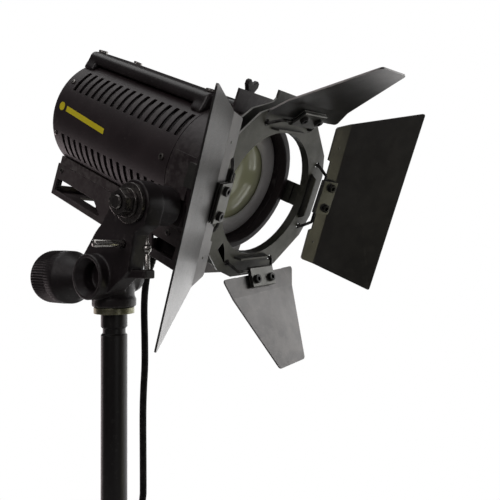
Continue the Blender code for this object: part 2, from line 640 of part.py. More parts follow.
def make_leaf(colours, side, axis):
    """One leaf, and the bracket that holds it on its wire with two screws."""
    crooked, shift, kind = SIDES[side][2:]
    place = Matrix.Translation((0, 0, shift)) @ Matrix.Rotation(math.radians(crooked), 4, "Y")
    finish("leaf_" + side, moved(leaf_sheet(kind), place), colours["leaf"], axis)

    slide = max(-0.0045, min(0.0045, shift))
    low = (-0.0022, -0.0020, slide - BRACKET_HALF)
    high = (0.0110, LEAF_LIFT - GAP, slide + BRACKET_HALF)
    bracket = finish("leaf_bracket_" + side, box(low, high), colours["bracket"], axis)
    cut(bracket, rod(WIRE_RADIUS + GAP, -0.0300, 0.0300, "z", steps=12))
    for spot in (-0.0070, 0.0070):
        head = rod(0.0027, -0.0040, -0.0010, "y", (0.0060, 0, slide + spot), steps=14, chamfer=0.0005)
        join(bracket, head)


# ---------------------------------------------------------------- cord


def make_cord(colours, tilt):
    """The cord's solids. It leaves the gland under the base box and hangs to its tied coil."""
    route = [
        (-0.0244, 0.0552, 0.2509),
        (-0.0276, 0.0552, 0.2436),
        (-0.0316, 0.0552, 0.2322),
        (-0.0337, 0.0552, 0.2144),
        (-0.0331, 0.0552, 0.1893),
        (-0.0330, 0.0552, 0.1713),
        (-0.0343, 0.0552, 0.1532),
        (-0.0349, 0.0552, 0.1351),
        (-0.0342, 0.0552, 0.1029),
        (-0.0340, 0.0552, 0.0712),
    ]
    unturn = tilt.matrix_world.inverted()
    path = [unturn @ point for point in smooth_path(route, 0.0110)]
    wire("cord_tube", path, CORD_RADIUS, colours["rubber"], tilt)
    section = arc((COIL_MEAN, 0), COIL_THICK, 0, 324, 9)
    coil = moved(turned(section, "y", steps=28), unturn @ Matrix.Translation(COIL_CENTRE))
    finish("cord_coil", coil, colours["rubber"], tilt)
    plug = [(0, 0), (0.0040, 0), (0.0060, 0.0050), (0.0092, 0.0120), (0.0092, 0.0260)]
    plug += [(0.0080, 0.0280), (0.0080, 0.0450), (0.0072, 0.0460), (0, 0.0460)]
    plug = moved(turned(plug, "x", PLUG_START, steps=28), unturn)
    finish("cord_plug", plug, colours["plastic"], tilt)


def make_materials():
    return {
        "pole": material("pole_black", (0.012, 0.010, 0.010), 0.42, 0.3),
        "cast": material("casting_black", (0.020, 0.017, 0.018), 0.55, 0.2),
        "housing": material("housing_black", (0.022, 0.018, 0.019), 0.58, 0.2),
        "handle": material("handle_black", (0.026, 0.022, 0.023), 0.48, 0.1),
        "plastic": material("knob_plastic", (0.016, 0.014, 0.015), 0.55),
        "rubber": material("cord_rubber", (0.010, 0.010, 0.010), 0.60),
        "brass": material("washer_metal", (0.52, 0.43, 0.30), 0.35, 1.0),
        "steel": material("bright_steel", (0.60, 0.58, 0.55), 0.30, 1.0),
        "steel_dark": material("dark_steel", (0.12, 0.11, 0.11), 0.40, 0.8),
        "ring": material("ring_black", (0.050, 0.050, 0.048), 0.60, 0.3),
        "bezel": material("bezel_grey", (0.32, 0.31, 0.30), 0.40, 0.6),
        "leaf": material("leaf_black", (0.035, 0.034, 0.034), 0.62, 0.3),
        "bracket": material("bracket_black", (0.060, 0.060, 0.055), 0.50, 0.5),
        "wire": material("wire_black", (0.012, 0.012, 0.012), 0.40, 0.6),
        "glass": material("lens_glass", (0.62, 0.66, 0.58), 0.05),
        "bulb": material("bulb_glass", (0.80, 0.80, 0.78), 0.08),
        "mirror": material("mirror_metal", (0.75, 0.75, 0.75), 0.12, 1.0),
        "ceramic": material("socket_ceramic", (0.70, 0.68, 0.62), 0.55),
    }


def main():
    clear_scene()
    colours = make_materials()
    pan = empty("pan_axis")
    knob = empty("clamp_knob_axis", place=Matrix.Translation((0, 0, CLAMP_Z)))
    lock = empty("tilt_lock_axis", place=Matrix.Translation(PIVOT))
    tilt = empty("tilt_axis", place=Matrix.Translation(PIVOT) @ Matrix.Rotation(TILT_DOWN, 4, "Y"))
    lamp = -PIVOT_IN_LAMP
    thumb = empty("thumb_screw_axis", tilt, Matrix.Translation(lamp + Vector((0.0255, 0, 0))))
    ring = empty("ring_axis", tilt, Matrix.Translation(lamp) @ Matrix.Rotation(RING_TURN, 4, "X"))
    bpy.context.view_layer.update()

    make_riser(colours)
    make_yoke(colours, pan)
    make_clamp_knob(colours, knob)
    make_tilt_lock(colours, pan, lock)
    make_housing(colours, tilt, lamp)
    make_optics(colours, tilt, lamp, tilt)
    make_base(colours, tilt, lamp)
    make_handle(colours, tilt, lamp)
    make_side_mount(colours, tilt, lamp)
    make_holder(colours, tilt, lamp, thumb)
    make_ring(colours, ring)
    for side in SIDES:
        angle, opening = (math.radians(value) for value in SIDES[side][:2])
        turn = Matrix.Rotation(angle, 4, "X")
        bail = empty("bail_axis_" + side, ring, turn @ Matrix.Translation((BAIL_HINGE_X, BAIL_HINGE_R, 0)))
        place = turn @ Matrix.Translation((LEAF_HINGE_X, LEAF_HINGE_R, 0))
        leaf = empty("leaf_axis_" + side, ring, place @ Matrix.Rotation(opening, 4, "Z"))
        make_bail(colours, side, bail)
        make_leaf(colours, side, leaf)
    make_cord(colours, tilt)


main()
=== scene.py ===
"""The look of the focusing spotlight: camera, cord, fine shapes and finishes on the CAD frame.

Metres, +Z up. Lamp parts are drawn in the lamp's own measures: x forward along the optical
axis, y across, z at right angles to both. Leaf parts are drawn from the leaf's hinge wire.
"""

import json
import math

import bmesh
import bpy
from mathutils import Matrix, Vector

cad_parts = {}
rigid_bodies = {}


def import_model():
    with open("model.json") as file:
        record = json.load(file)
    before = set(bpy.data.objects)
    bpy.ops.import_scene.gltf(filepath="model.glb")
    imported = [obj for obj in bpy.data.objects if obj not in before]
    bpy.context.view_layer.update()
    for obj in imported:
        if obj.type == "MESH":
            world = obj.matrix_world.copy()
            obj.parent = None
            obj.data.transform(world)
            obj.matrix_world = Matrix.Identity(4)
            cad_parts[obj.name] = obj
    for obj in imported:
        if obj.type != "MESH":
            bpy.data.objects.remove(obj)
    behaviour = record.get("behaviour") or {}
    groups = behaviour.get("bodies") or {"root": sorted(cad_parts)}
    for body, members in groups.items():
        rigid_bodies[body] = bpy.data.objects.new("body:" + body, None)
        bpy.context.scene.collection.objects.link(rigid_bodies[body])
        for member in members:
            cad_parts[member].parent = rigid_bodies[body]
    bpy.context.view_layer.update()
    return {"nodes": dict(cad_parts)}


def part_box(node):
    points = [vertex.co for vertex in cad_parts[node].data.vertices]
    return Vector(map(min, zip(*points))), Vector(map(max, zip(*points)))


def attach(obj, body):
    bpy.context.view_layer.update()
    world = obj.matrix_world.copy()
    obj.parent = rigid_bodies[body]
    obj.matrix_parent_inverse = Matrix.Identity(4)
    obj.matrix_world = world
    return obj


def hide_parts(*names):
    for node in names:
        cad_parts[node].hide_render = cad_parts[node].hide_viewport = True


# Where the lamp, its ring and its leaves are
PIVOT = Vector((0.0328, 0.0, 0.2799))
PIVOT_IN_LAMP = Vector((0.0275, -0.0552, -0.0240))
TILT = Matrix.Translation(PIVOT) @ Matrix.Rotation(math.radians(23.5), 4, "Y")
LAMP = TILT @ Matrix.Translation(-PIVOT_IN_LAMP)
RING = LAMP @ Matrix.Rotation(math.radians(4.0), 4, "X")
SIDES = {  # angle round the ring, opening, crooked turn, sideways shift, kind
    "far": (0.0, 73.5, -3.4, 0.0021, "wide"),
    "top": (90.0, 47.7, -0.9, -0.0025, "narrow"),
    "near": (180.0, 74.7, -3.0, 0.0016, "wide"),
    "bottom": (270.0, 54.4, -2.3, 0.0058, "narrow"),
}
LEAVES = {  # fold angle, then (distance from the hinge, half width) at the edge, fold and end
    "wide": (15.6, (-0.0002, 0.0457), (0.0116, 0.0494), (0.0624, 0.0658)),
    "narrow": (11.0, (0.0020, 0.0355), (0.0145, 0.0305), (0.0625, 0.0132)),
}
HINGE = (0.0715, 0.0469)
LEAF_LIFT = 0.0012
LEAF_THICK = 0.0010

# Cord
CORD_RADIUS = 0.0025
COIL_CENTRE = Vector((-0.0340, 0.0552, 0.0360))
COIL_MEAN = 0.0260
PLUG_START = Vector((0.0, 0.0745, 0.0100))
COIL_BUNDLE = 0.0060
COIL_TURNS = 7.5


# ---------------------------------------------------------------- shapes


def loft(rings, closed=False):
    """A skin over rings with equally many points. Open lofts get a cap on each end."""
    shape = bmesh.new()
    rows = [[shape.verts.new(point) for point in ring] for ring in rings]
    count = len(rows[0])
    for first, second in zip(rows, rows[1:] + rows[:1] if closed else rows[1:]):
        for i in range(count):
            j = (i + 1) % count
            shape.faces.new((first[i], first[j], second[j], second[i]))
    if not closed:
        shape.faces.new(rows[0])
        shape.faces.new(rows[-1])
    return shape


def circle(radius, height, axis="z", steps=64, centre=(0.0, 0.0)):
    """Points round an axis, at one height along it."""
    ring = []
    for i in range(steps):
        angle = 2 * math.pi * i / steps
        u, v = centre[0] + radius * math.cos(angle), centre[1] + radius * math.sin(angle)
        ring.append({"x": (height, u, v), "y": (u, height, v), "z": (u, v, height)}[axis])
    return ring


def turned(profile, axis="z", steps=64, closed=False):
    """(radius, height) points turned round an axis, as a solid, or as a closed tube."""
    return loft([circle(radius, height, axis, steps) for radius, height in profile], closed)


def prism(outline, low, high, plane="yz"):
    """A flat outline pushed along the third axis. plane names the outline's two axes."""
    order = {"yz": (0, 1, 2), "xz": (1, 0, 2), "xy": (2, 0, 1)}[plane]
    rings = []
    for depth in (low, high):
        ring = []
        for u, v in outline:
            point = [0.0, 0.0, 0.0]
            point[order[0]], point[order[1]], point[order[2]] = depth, u, v
            ring.append(point)
        rings.append(ring)
    return loft(rings)


def arc(centre, radius, start, end, steps):
    angles = (math.radians(start + (end - start) * i / steps) for i in range(steps + 1))
    return [(centre[0] + radius * math.cos(a), centre[1] + radius * math.sin(a)) for a in angles]


def moved(shape, place):
    shape.transform(place)
    return shape


def merged(shapes):
    """Several shapes in one mesh."""
    first = shapes[0]
    for other in shapes[1:]:
        mesh = bpy.data.meshes.new("merge")
        other.to_mesh(mesh)
        other.free()
        first.from_mesh(mesh)
        bpy.data.meshes.remove(mesh)
    return first


def soften(made, width, segments=2, angle=32):
    """Rounds an object's sharp edges with a small bevel, and keeps its flat faces flat."""
    step = made.modifiers.new("soften", "BEVEL")
    step.width = width
    step.segments = segments
    step.limit_method = "ANGLE"
    step.angle_limit = math.radians(angle)
    step.harden_normals = True
    step.miter_outer = "MITER_ARC"


def piece(name, shape, finish, body, replaces=(), soft=0.0002, segments=2, angle=32):
    """Makes a piece in the row frame from a shape, and lets it ride on a body."""
    bmesh.ops.recalc_face_normals(shape, faces=shape.faces)
    mesh = bpy.data.meshes.new(name)
    shape.to_mesh(mesh)
    shape.free()
    made = bpy.data.objects.new(name, mesh)
    bpy.context.scene.collection.objects.link(made)
    return settle(made, finish, body, replaces, soft, segments, angle)


def settle(made, finish, body, replaces=(), soft=0.0002, segments=2, angle=32):
    """Finishes a piece: smooth shading, softened edges, material, and its place in the frame."""
    if made.type == "MESH":
        made.data.shade_smooth()
        if soft:
            soften(made, soft, segments, angle)
        else:
            made.data.set_sharp_from_angle(angle=math.radians(angle))
    made.data.materials.clear()
    made.data.materials.append(finish)
    if replaces:
        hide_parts(*replaces)
    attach(made, body)
    return made


def screw_head(radius, height, socket, depth):
    """A cap screw's head with a hexagon socket, standing on z = 0."""
    steps = 36
    chamfer = radius * 0.12
    hexagon = []
    for i in range(steps):
        angle = 2 * math.pi * i / steps
        reach = socket * math.cos(math.pi / 6) / math.cos((angle % (math.pi / 3)) - math.pi / 6)
        hexagon.append((reach * math.cos(angle), reach * math.sin(angle)))
    rings = [circle(radius, 0.0, steps=steps), circle(radius, height - chamfer, steps=steps)]
    rings.append(circle(radius - chamfer * 0.3, height - chamfer * 0.3, steps=steps))
    rings.append(circle(radius - chamfer, height, steps=steps))
    rings.append([(x * 1.08, y * 1.08, height) for x, y in hexagon])
    rings.append([(x, y, height - chamfer * 0.5) for x, y in hexagon])
    rings.append([(x, y, height - depth) for x, y in hexagon])
    return loft(rings)


def pointing(direction, point, turn=0.0):
    """Puts +Z along a direction, at a point."""
    spin = Vector(direction).to_track_quat("Z", "Y").to_matrix().to_4x4()
    return Matrix.Translation(point) @ spin @ Matrix.Rotation(math.radians(turn), 4, "Z")


# ---------------------------------------------------------------- materials


def add(tree, kind, **inputs):
    """Adds a shader node. A value is set on its input, and a socket is linked to it."""
    made = tree.nodes.new("ShaderNode" + kind)
    for key, value in inputs.items():
        socket = made.inputs[key.replace("_", " ")]
        if isinstance(value, bpy.types.NodeSocket):
            tree.links.new(value, socket)
        else:
            socket.default_value = value
    return made


def ramp(tree, value, low, high, dark=0.0, light=1.0):
    """Takes a value from low..high to dark..light."""
    made = add(tree, "MapRange", Value=value, From_Min=low, From_Max=high, To_Min=dark, To_Max=light)
    return made.outputs["Result"]


def colour_mix(tree, amount, first, second):
    first = (*first, 1.0) if isinstance(first, tuple) else first
    second = (*second, 1.0) if isinstance(second, tuple) else second
    return add(tree, "MixRGB", Fac=amount, Color1=first, Color2=second).outputs["Color"]


def times(tree, first, second):
    made = tree.nodes.new("ShaderNodeMath")
    made.operation = "MULTIPLY"
    for socket, value in zip(made.inputs, (first, second)):
        if isinstance(value, bpy.types.NodeSocket):
            tree.links.new(value, socket)
        else:
            socket.default_value = value
    return made.outputs["Value"]


def new_material(name):
    """An empty material that takes its name over from the CAD's plain one."""
    plain = bpy.data.materials.get(name)
    if plain:
        plain.name = name + "_plain"
    made = bpy.data.materials.new(name)
    made.use_nodes = True
    return made


def finish_of(name, dark, light, roughness, metallic=0.0, specular=0.5, grain=1400.0, depth=0.00003,
              blotch=45.0, wear=(0.20, 0.19, 0.18), worn=0.5, dust=0.0):
    """A painted, moulded or bare metal surface with grain, uneven tone, rubbed edges and dust."""
    made = new_material(name)
    tree = made.node_tree
    shader = tree.nodes["Principled BSDF"]
    where = add(tree, "TexCoord").outputs["Object"]
    broad = add(tree, "TexNoise", Vector=where, Scale=blotch, Detail=5.0, Roughness=0.6)
    fine = add(tree, "TexNoise", Vector=where, Scale=grain, Detail=3.0, Roughness=0.6)
    tone = colour_mix(tree, ramp(tree, broad.outputs["Fac"], 0.35, 0.65), dark, light)
    edge = add(tree, "NewGeometry").outputs["Pointiness"]
    patchy = add(tree, "TexNoise", Vector=where, Scale=blotch * 6, Detail=4.0)
    patchy = ramp(tree, patchy.outputs["Fac"], 0.42, 0.62)
    rubbed = times(tree, ramp(tree, edge, 0.515, 0.58), patchy)
    tone = colour_mix(tree, times(tree, rubbed, worn), tone, wear)
    if dust:
        specks = add(tree, "TexNoise", Vector=where, Scale=grain * 0.45, Detail=1.0)
        specks = times(tree, ramp(tree, specks.outputs["Fac"], 0.66, 0.72), dust)
        tone = colour_mix(tree, specks, tone, (0.35, 0.34, 0.32))
    tree.links.new(tone, shader.inputs["Base Color"])
    uneven = ramp(tree, fine.outputs["Fac"], 0.3, 0.7, roughness - 0.06, roughness + 0.06)
    tree.links.new(uneven, shader.inputs["Roughness"])
    bump = add(tree, "Bump", Height=fine.outputs["Fac"], Strength=0.6, Distance=depth)
    tree.links.new(bump.outputs["Normal"], shader.inputs["Normal"])
    shader.inputs["Metallic"].default_value = metallic
    shader.inputs["Specular IOR Level"].default_value = specular
    return made


def glass(name, colour, roughness, ior, clear):
    """Glass with faint smears in its gloss. clear is the share of light that goes through."""
    made = new_material(name)
    tree = made.node_tree
    shader = tree.nodes["Principled BSDF"]
    where = add(tree, "TexCoord").outputs["Object"]
    smear = add(tree, "TexNoise", Vector=where, Scale=60.0, Detail=4.0, Distortion=0.6)
    uneven = ramp(tree, smear.outputs["Fac"], 0.45, 0.75, roughness, roughness + 0.06)
    tree.links.new(uneven, shader.inputs["Roughness"])
    shader.inputs["Base Color"].default_value = (*colour, 1.0)
    shader.inputs["Transmission Weight"].default_value = clear
    shader.inputs["IOR"].default_value = ior
    return made


def make_finishes():
    purple_dark, purple_light = (0.0230, 0.0150, 0.0172), (0.0370, 0.0260, 0.0285)
    finishes = [
        finish_of("pole_black", (0.0060, 0.0048, 0.0050), (0.0100, 0.0084, 0.0086), 0.42, 0.0, 0.45,
                  grain=900.0, worn=0.0, dust=0.03),
        finish_of("casting_black", (0.0110, 0.0074, 0.0086), (0.0200, 0.0140, 0.0158), 0.48, 0.0, 0.5,
                  grain=650.0, depth=0.00010, worn=0.7, dust=0.05),
        finish_of("housing_black", purple_dark, purple_light, 0.50, 0.0, 0.45,
                  grain=1500.0, depth=0.00005, worn=0.35, dust=0.04),
        # A lighter copy of the housing paint for the base box and saddle rail: painted light, standing in for
        # light on their sides.
        finish_of("box_worn", (0.060, 0.047, 0.049), (0.095, 0.078, 0.080), 0.44, 0.0, 0.5,
                  grain=1500.0, depth=0.00005, worn=0.5, dust=0.05),
        finish_of("handle_black", (0.0110, 0.0078, 0.0088), (0.0190, 0.0140, 0.0155), 0.36, 0.0, 0.5,
                  grain=1100.0, depth=0.00003, worn=0.4, dust=0.04),
        finish_of("knob_plastic", (0.0110, 0.0074, 0.0086), (0.0165, 0.0118, 0.0132), 0.50, 0.0, 0.45,
                  grain=800.0, depth=0.00006, worn=0.4, wear=(0.07, 0.065, 0.065), dust=0.05),
        finish_of("cord_rubber", (0.0050, 0.0048, 0.0048), (0.0080, 0.0078, 0.0078), 0.68, 0.0, 0.15,
                  grain=700.0, depth=0.00004, worn=0.2, dust=0.04),
        finish_of("washer_metal", (0.15, 0.15, 0.09), (0.30, 0.29, 0.19), 0.38, 0.9,
                  grain=900.0, blotch=120.0, worn=0.5, wear=(0.6, 0.58, 0.50)),
        finish_of("bright_steel", (0.42, 0.41, 0.39), (0.60, 0.58, 0.55), 0.28, 1.0,
                  grain=1200.0, worn=0.3, wear=(0.7, 0.7, 0.7)),
        finish_of("dark_steel", (0.110, 0.100, 0.098), (0.190, 0.180, 0.175), 0.30, 0.9,
                  grain=1000.0, worn=0.9, wear=(0.50, 0.48, 0.45)),
        finish_of("ring_black", (0.085, 0.085, 0.080), (0.125, 0.124, 0.116), 0.46, 0.85,
                  grain=1300.0, depth=0.00003, worn=0.5, dust=0.05),
        # The lens ring's light grey is painted light: a sheen on its rounded lip, given as the ring's colour.
        finish_of("bezel_grey", (0.70, 0.68, 0.67), (0.82, 0.80, 0.79), 0.40, 0.0, 0.5,
                  grain=1000.0, worn=0.0),
        finish_of("leaf_black", (0.105, 0.102, 0.101), (0.145, 0.141, 0.139), 0.37, 0.9,
                  grain=1600.0, depth=0.00002, blotch=22.0, worn=0.5, dust=0.05),
        finish_of("bracket_black", (0.14, 0.14, 0.13), (0.20, 0.20, 0.19), 0.42, 0.8,
                  grain=1300.0, worn=0.6, dust=0.05),
        finish_of("wire_black", (0.010, 0.010, 0.010), (0.020, 0.020, 0.020), 0.38, 0.5,
                  grain=900.0, worn=0.5),
        # The lens's olive colour, with only a small share of light going through, is painted reflection: it
        # stands in for olive reflections on the glass.
        glass("lens_glass", (0.70, 0.71, 0.47), 0.14, 1.52, 0.15),
        glass("bulb_glass", (0.96, 0.96, 0.95), 0.02, 1.46, 1.0),
        finish_of("mirror_metal", (0.70, 0.70, 0.70), (0.80, 0.80, 0.80), 0.12, 1.0,
                  grain=300.0, depth=0.00005, worn=0.0),
        finish_of("socket_ceramic", (0.60, 0.58, 0.52), (0.70, 0.68, 0.62), 0.55, 0.0,
                  grain=600.0, worn=0.0),
    ]
    return {made.name: made for made in finishes}


# ---------------------------------------------------------------- camera, stage and light


def make_camera():
    data = bpy.data.cameras.new("camera")
    data.lens = 43.08
    data.sensor_width = 36.0
    data.clip_start = 0.01
    camera = bpy.data.objects.new("camera", data)
    camera.location = (0.28999, -0.23980, 0.25217)
    yaw, pitch = math.radians(127.63), math.radians(0.25)
    ahead = Vector((math.cos(yaw) * math.cos(pitch), math.sin(yaw) * math.cos(pitch), math.sin(pitch)))
    camera.rotation_euler = ahead.to_track_quat("-Z", "Y").to_euler()
    bpy.context.scene.collection.objects.link(camera)
    bpy.context.scene.camera = camera


def make_panel(name, azimuth, height, distance, size, radiance, colour=(1.0, 1.0, 1.0)):
    """A soft panel of light, standing round the object and facing it."""
    data = bpy.data.lights.new(name, "AREA")
    data.shape = "RECTANGLE"
    data.size, data.size_y = size
    data.energy = radiance * math.pi * size[0] * size[1]
    data.color = colour
    light = bpy.data.objects.new(name, data)
    angle = math.radians(azimuth)
    aim = Vector((0.05, 0.04, 0.27))
    light.location = aim + Vector((distance * math.cos(angle), distance * math.sin(angle), height))
    light.rotation_euler = (aim - light.location).to_track_quat("-Z", "Y").to_euler()
    light.visible_camera = False
    bpy.context.scene.collection.objects.link(light)


def make_stage():
    """A plain pale table under the object, a white surround, and soft panels."""
    table = loft([circle(0.200, -0.0120, steps=128), circle(0.215, -0.0100, steps=128),
                  circle(0.215, -0.0010, steps=128), circle(0.214, 0.0, steps=128)])
    mesh = bpy.data.meshes.new("table")
    table.to_mesh(mesh)
    table.free()
    made = bpy.data.objects.new("table", mesh)
    bpy.context.scene.collection.objects.link(made)
    paint = bpy.data.materials.new("table_white")
    paint.use_nodes = True
    paint.node_tree.nodes["Principled BSDF"].inputs["Base Color"].default_value = (0.75, 0.75, 0.74, 1.0)
    paint.node_tree.nodes["Principled BSDF"].inputs["Roughness"].default_value = 0.7
    mesh.materials.append(paint)

    world = bpy.data.worlds.new("studio")
    world.use_nodes = True
    tree = world.node_tree
    shown = tree.nodes["Background"]
    shown.inputs["Color"].default_value = (1.0, 1.0, 1.0, 1.0)
    dim = add(tree, "Background", Color=(1.0, 0.95, 0.95, 1.0), Strength=0.04)
    seen = add(tree, "LightPath").outputs["Is Camera Ray"]
    mix = tree.nodes.new("ShaderNodeMixShader")
    tree.links.new(seen, mix.inputs[0])
    tree.links.new(dim.outputs[0], mix.inputs[1])
    tree.links.new(shown.outputs[0], mix.inputs[2])
    tree.links.new(mix.outputs[0], tree.nodes["World Output"].inputs["Surface"])
    bpy.context.scene.world = world
    bpy.context.scene.view_settings.view_transform = "Standard"

    make_panel("backdrop_panel", 85, 0.05, 1.5, (1.9, 1.9), 1.6)
    make_panel("far_panel", 136, -0.10, 1.5, (1.1, 1.3), 2.7)
    make_panel("right_panel", 50, 0.50, 1.5, (0.8, 0.6), 2.0)
    make_panel("front_panel", -18, -0.15, 1.5, (0.5, 0.5), 1.0)
    make_panel("key_panel", 280, 0.85, 1.5, (0.9, 0.9), 2.2, colour=(1.0, 0.95, 0.95))
    make_panel("low_panel", 40, -0.80, 1.5, (0.35, 0.4), 2.0, colour=(1.0, 0.97, 0.62))
    make_panel("top_panel", 200, 1.4, 0.5, (1.2, 1.2), 1.35)
    make_panel("side_panel", 182, -0.42, 1.5, (0.9, 0.7), 1.9, colour=(1.0, 0.86, 0.88))


# ---------------------------------------------------------------- cord


def smooth_path(points, spacing):
    """Even points along a smooth curve through the given points."""
    points = [Vector(p) for p in points]
    ends = [2 * points[0] - points[1]] + points + [2 * points[-1] - points[-2]]
    fine = []
    for p0, p1, p2, p3 in zip(ends, ends[1:], ends[2:], ends[3:]):
        for i in range(20):
            t = i / 20
            square = 2 * p0 - 5 * p1 + 4 * p2 - p3
            cube = 3 * p1 - p0 - 3 * p2 + p3
            fine.append(0.5 * (2 * p1 + (p2 - p0) * t + square * t**2 + cube * t**3))
    fine.append(points[-1])
    return even(fine, spacing)


def even(fine, spacing):
    """Evenly spaced points along a fine line."""
    length = sum((b - a).length for a, b in zip(fine, fine[1:]))
    count = max(2, round(length / spacing))
    made, walked, target = [fine[0]], 0.0, length / count
    for a, b in zip(fine, fine[1:]):
        step = (b - a).length
        while walked + step >= target - 1e-9 and len(made) < count:
            made.append(a.lerp(b, (target - walked) / step))
            target += length / count
        walked += step
    made.append(fine[-1])
    return made


def coil_point(turns):
    """The cord's middle line in the coil, turns after its top.

    The first turn runs in the middle of the bundle and the others lie round it.
    """
    angle = math.pi / 2 + 2 * math.pi * turns
    share = min(1.0, max(0.0, (turns - 0.5) / 0.5))
    spread = COIL_BUNDLE * share * share * (3 - 2 * share)
    round_bundle = math.radians(85.7 + 360 / 7 * (turns - 1.0))
    radius = COIL_MEAN + spread * math.cos(round_bundle)
    side = spread * math.sin(round_bundle)
    return COIL_CENTRE + Vector((radius * math.cos(angle), side, radius * math.sin(angle)))


def cord_line():
    """Down from the gland behind the arm, round the coil, and along the floor into the plug."""
    hanging = [
        (-0.0244, 0.0552, 0.2509),
        (-0.0276, 0.0552, 0.2436),
        (-0.0316, 0.0552, 0.2322),
        (-0.0337, 0.0552, 0.2144),
        (-0.0331, 0.0552, 0.1893),
        (-0.0330, 0.0552, 0.1713),
        (-0.0343, 0.0552, 0.1532),
        (-0.0349, 0.0552, 0.1351),
        (-0.0347, 0.0552, 0.1029),
    ]
    bend = 0.0230
    swing = [(-0.0346 - bend + x, 0.0552, 0.0790 + z) for x, z in arc((0, 0), bend, 0, -61.2, 5)]
    down = smooth_path(hanging + swing, 0.0060)
    start = 0.08
    coil = [coil_point(start + i * (COIL_TURNS - start) / 400) for i in range(401)]
    last = coil[-1]
    reach = PLUG_START - last
    away = [last]
    for i in range(1, 11):
        share = i / 10
        sideways = 0.5 - 0.5 * math.cos(math.pi * share)
        away.append(last + Vector((reach.x * share, reach.y * sideways, reach.z * sideways)))
    away.append(PLUG_START + Vector((0.003, 0.0, 0.0)))
    return down[:-1] + even(coil, 0.0050) + smooth_path(away, 0.0045)[1:]


def make_cord(finishes):
    """The cord from end to end, its strain relief, the tie round its coil, and its plug."""
    rubber, plastic = finishes["cord_rubber"], finishes["knob_plastic"]
    points = cord_line()
    curve = bpy.data.curves.new("head_cord", "CURVE")
    curve.dimensions = "3D"
    curve.bevel_depth = CORD_RADIUS
    curve.bevel_resolution = 5
    curve.use_fill_caps = True
    spline = curve.splines.new("POLY")
    spline.points.add(len(points) - 1)
    for spot, point in zip(spline.points, points):
        spot.co = (*point, 1.0)
    spline.use_smooth = True
    cord = bpy.data.objects.new("head_cord", curve)
    bpy.context.scene.collection.objects.link(cord)
    settle(cord, rubber, "head", ("cord_tube", "cord_coil"))

    down = (points[0] - points[1]).normalized() * -1.0
    profile = [(0.0026, -0.0020), (0.0035, -0.0020)]
    for i in range(7):
        low = 0.0008 + 0.0028 * i
        radius = 0.0035 - 0.00007 * i
        profile += [(radius, low), (radius - 0.0002, low + 0.0004)]
        profile += [(radius - 0.0002, low + 0.0014), (radius - 0.00005, low + 0.0018)]
    profile += [(0.0029, 0.0218), (0.0026, 0.0220)]
    relief = moved(turned(profile, "z", 36, closed=True), pointing(down, points[0]))
    relief = piece("strain_relief", relief, rubber, "head", soft=0.0001)

    band = []
    for i in range(48):
        angle = 2 * math.pi * i / 48
        x = COIL_CENTRE.x + COIL_MEAN + 0.0088 * math.cos(angle)
        y = COIL_CENTRE.y + 0.0088 * math.sin(angle)
        band.append((x, y))
    inner = [(COIL_CENTRE.x + COIL_MEAN + (x - COIL_CENTRE.x - COIL_MEAN) * 0.97,
              COIL_CENTRE.y + (y - COIL_CENTRE.y) * 0.97) for x, y in band]
    rings = [[(x, y, COIL_CENTRE.z + level) for x, y in ring]
             for ring, level in ((inner, -0.004), (band, -0.004), (band, 0.004), (inner, 0.004))]
    tie = piece("coil_tie", loft(rings, closed=True), rubber, "head", soft=0.0002)

    grips = [(0.0028, 0.0), (0.0040, 0.0), (0.0052, 0.0022), (0.0060, 0.0050), (0.0078, 0.0085)]
    grips += [(0.0091, 0.0120), (0.0092, 0.0135)]
    for i in range(5):
        low = 0.0145 + 0.0022 * i
        grips += [(0.0092, low), (0.0086, low + 0.0004), (0.0086, low + 0.0010), (0.0092, low + 0.0014)]
    grips += [(0.0092, 0.0258), (0.0081, 0.0278), (0.0080, 0.0300), (0.0080, 0.0446), (0.0076, 0.0452)]
    grips += [(0.0064, 0.0452), (0.0064, 0.0360), (0.0028, 0.0360)]
    shell = moved(turned(grips, "x", 56, closed=True), Matrix.Translation(PLUG_START))
    plug = piece("plug_shell", shell, plastic, "head", ("cord_plug",), soft=0.0002)
    pins = []
    for i in range(3):
        angle = math.radians(90 + 120 * i)
        pin = [(0.0002, 0.0355), (0.0010, 0.0355), (0.0010, 0.0440), (0.0006, 0.0446), (0.0001, 0.0447)]
        place = PLUG_START + Vector((0.0, 0.0035 * math.cos(angle), 0.0035 * math.sin(angle)))
        pins.append(moved(turned(pin, "x", 20), Matrix.Translation(place)))
    insert = [(0.0001, 0.0340), (0.0060, 0.0340), (0.0060, 0.0365), (0.0001, 0.0365)]
    pins.append(moved(turned(insert, "x", 32), Matrix.Translation(PLUG_START)))
    pins = piece("plug_pins", merged(pins), finishes["washer_metal"], "head", soft=0)


# ---------------------------------------------------------------- yoke and clamp


def recast(name, nodes, finish, body, voxel, rounds, swell=0.0):
    """A cast or moulded copy of a CAD node, with small fillets for corners and swell more all round."""
    source = bpy.data.objects[nodes[0]]
    shape = bmesh.new()
    shape.from_mesh(source.data)
    bmesh.ops.remove_doubles(shape, verts=shape.verts, dist=1e-6)
    mesh = bpy.data.meshes.new(name)
    shape.to_mesh(mesh)
    shape.free()
    made = bpy.data.objects.new(name, mesh)
    bpy.context.scene.collection.objects.link(made)
    remesh = made.modifiers.new("even", "REMESH")
    remesh.mode = "VOXEL"
    remesh.voxel_size = voxel
    relax = made.modifiers.new("relax", "SMOOTH")
    relax.factor = 0.5
    relax.iterations = rounds
    if swell:
        fuller = made.modifiers.new("fuller", "DISPLACE")
        fuller.strength = swell
        fuller.mid_level = 0.0
    baked = bpy.data.meshes.new_from_object(made.evaluated_get(bpy.context.evaluated_depsgraph_get()))
    made.modifiers.clear()
    made.data = baked
    made.data.shade_smooth()
    made.data.materials.clear()
    made.data.materials.append(finish)
    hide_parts(*nodes)
    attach(made, body)
    return made


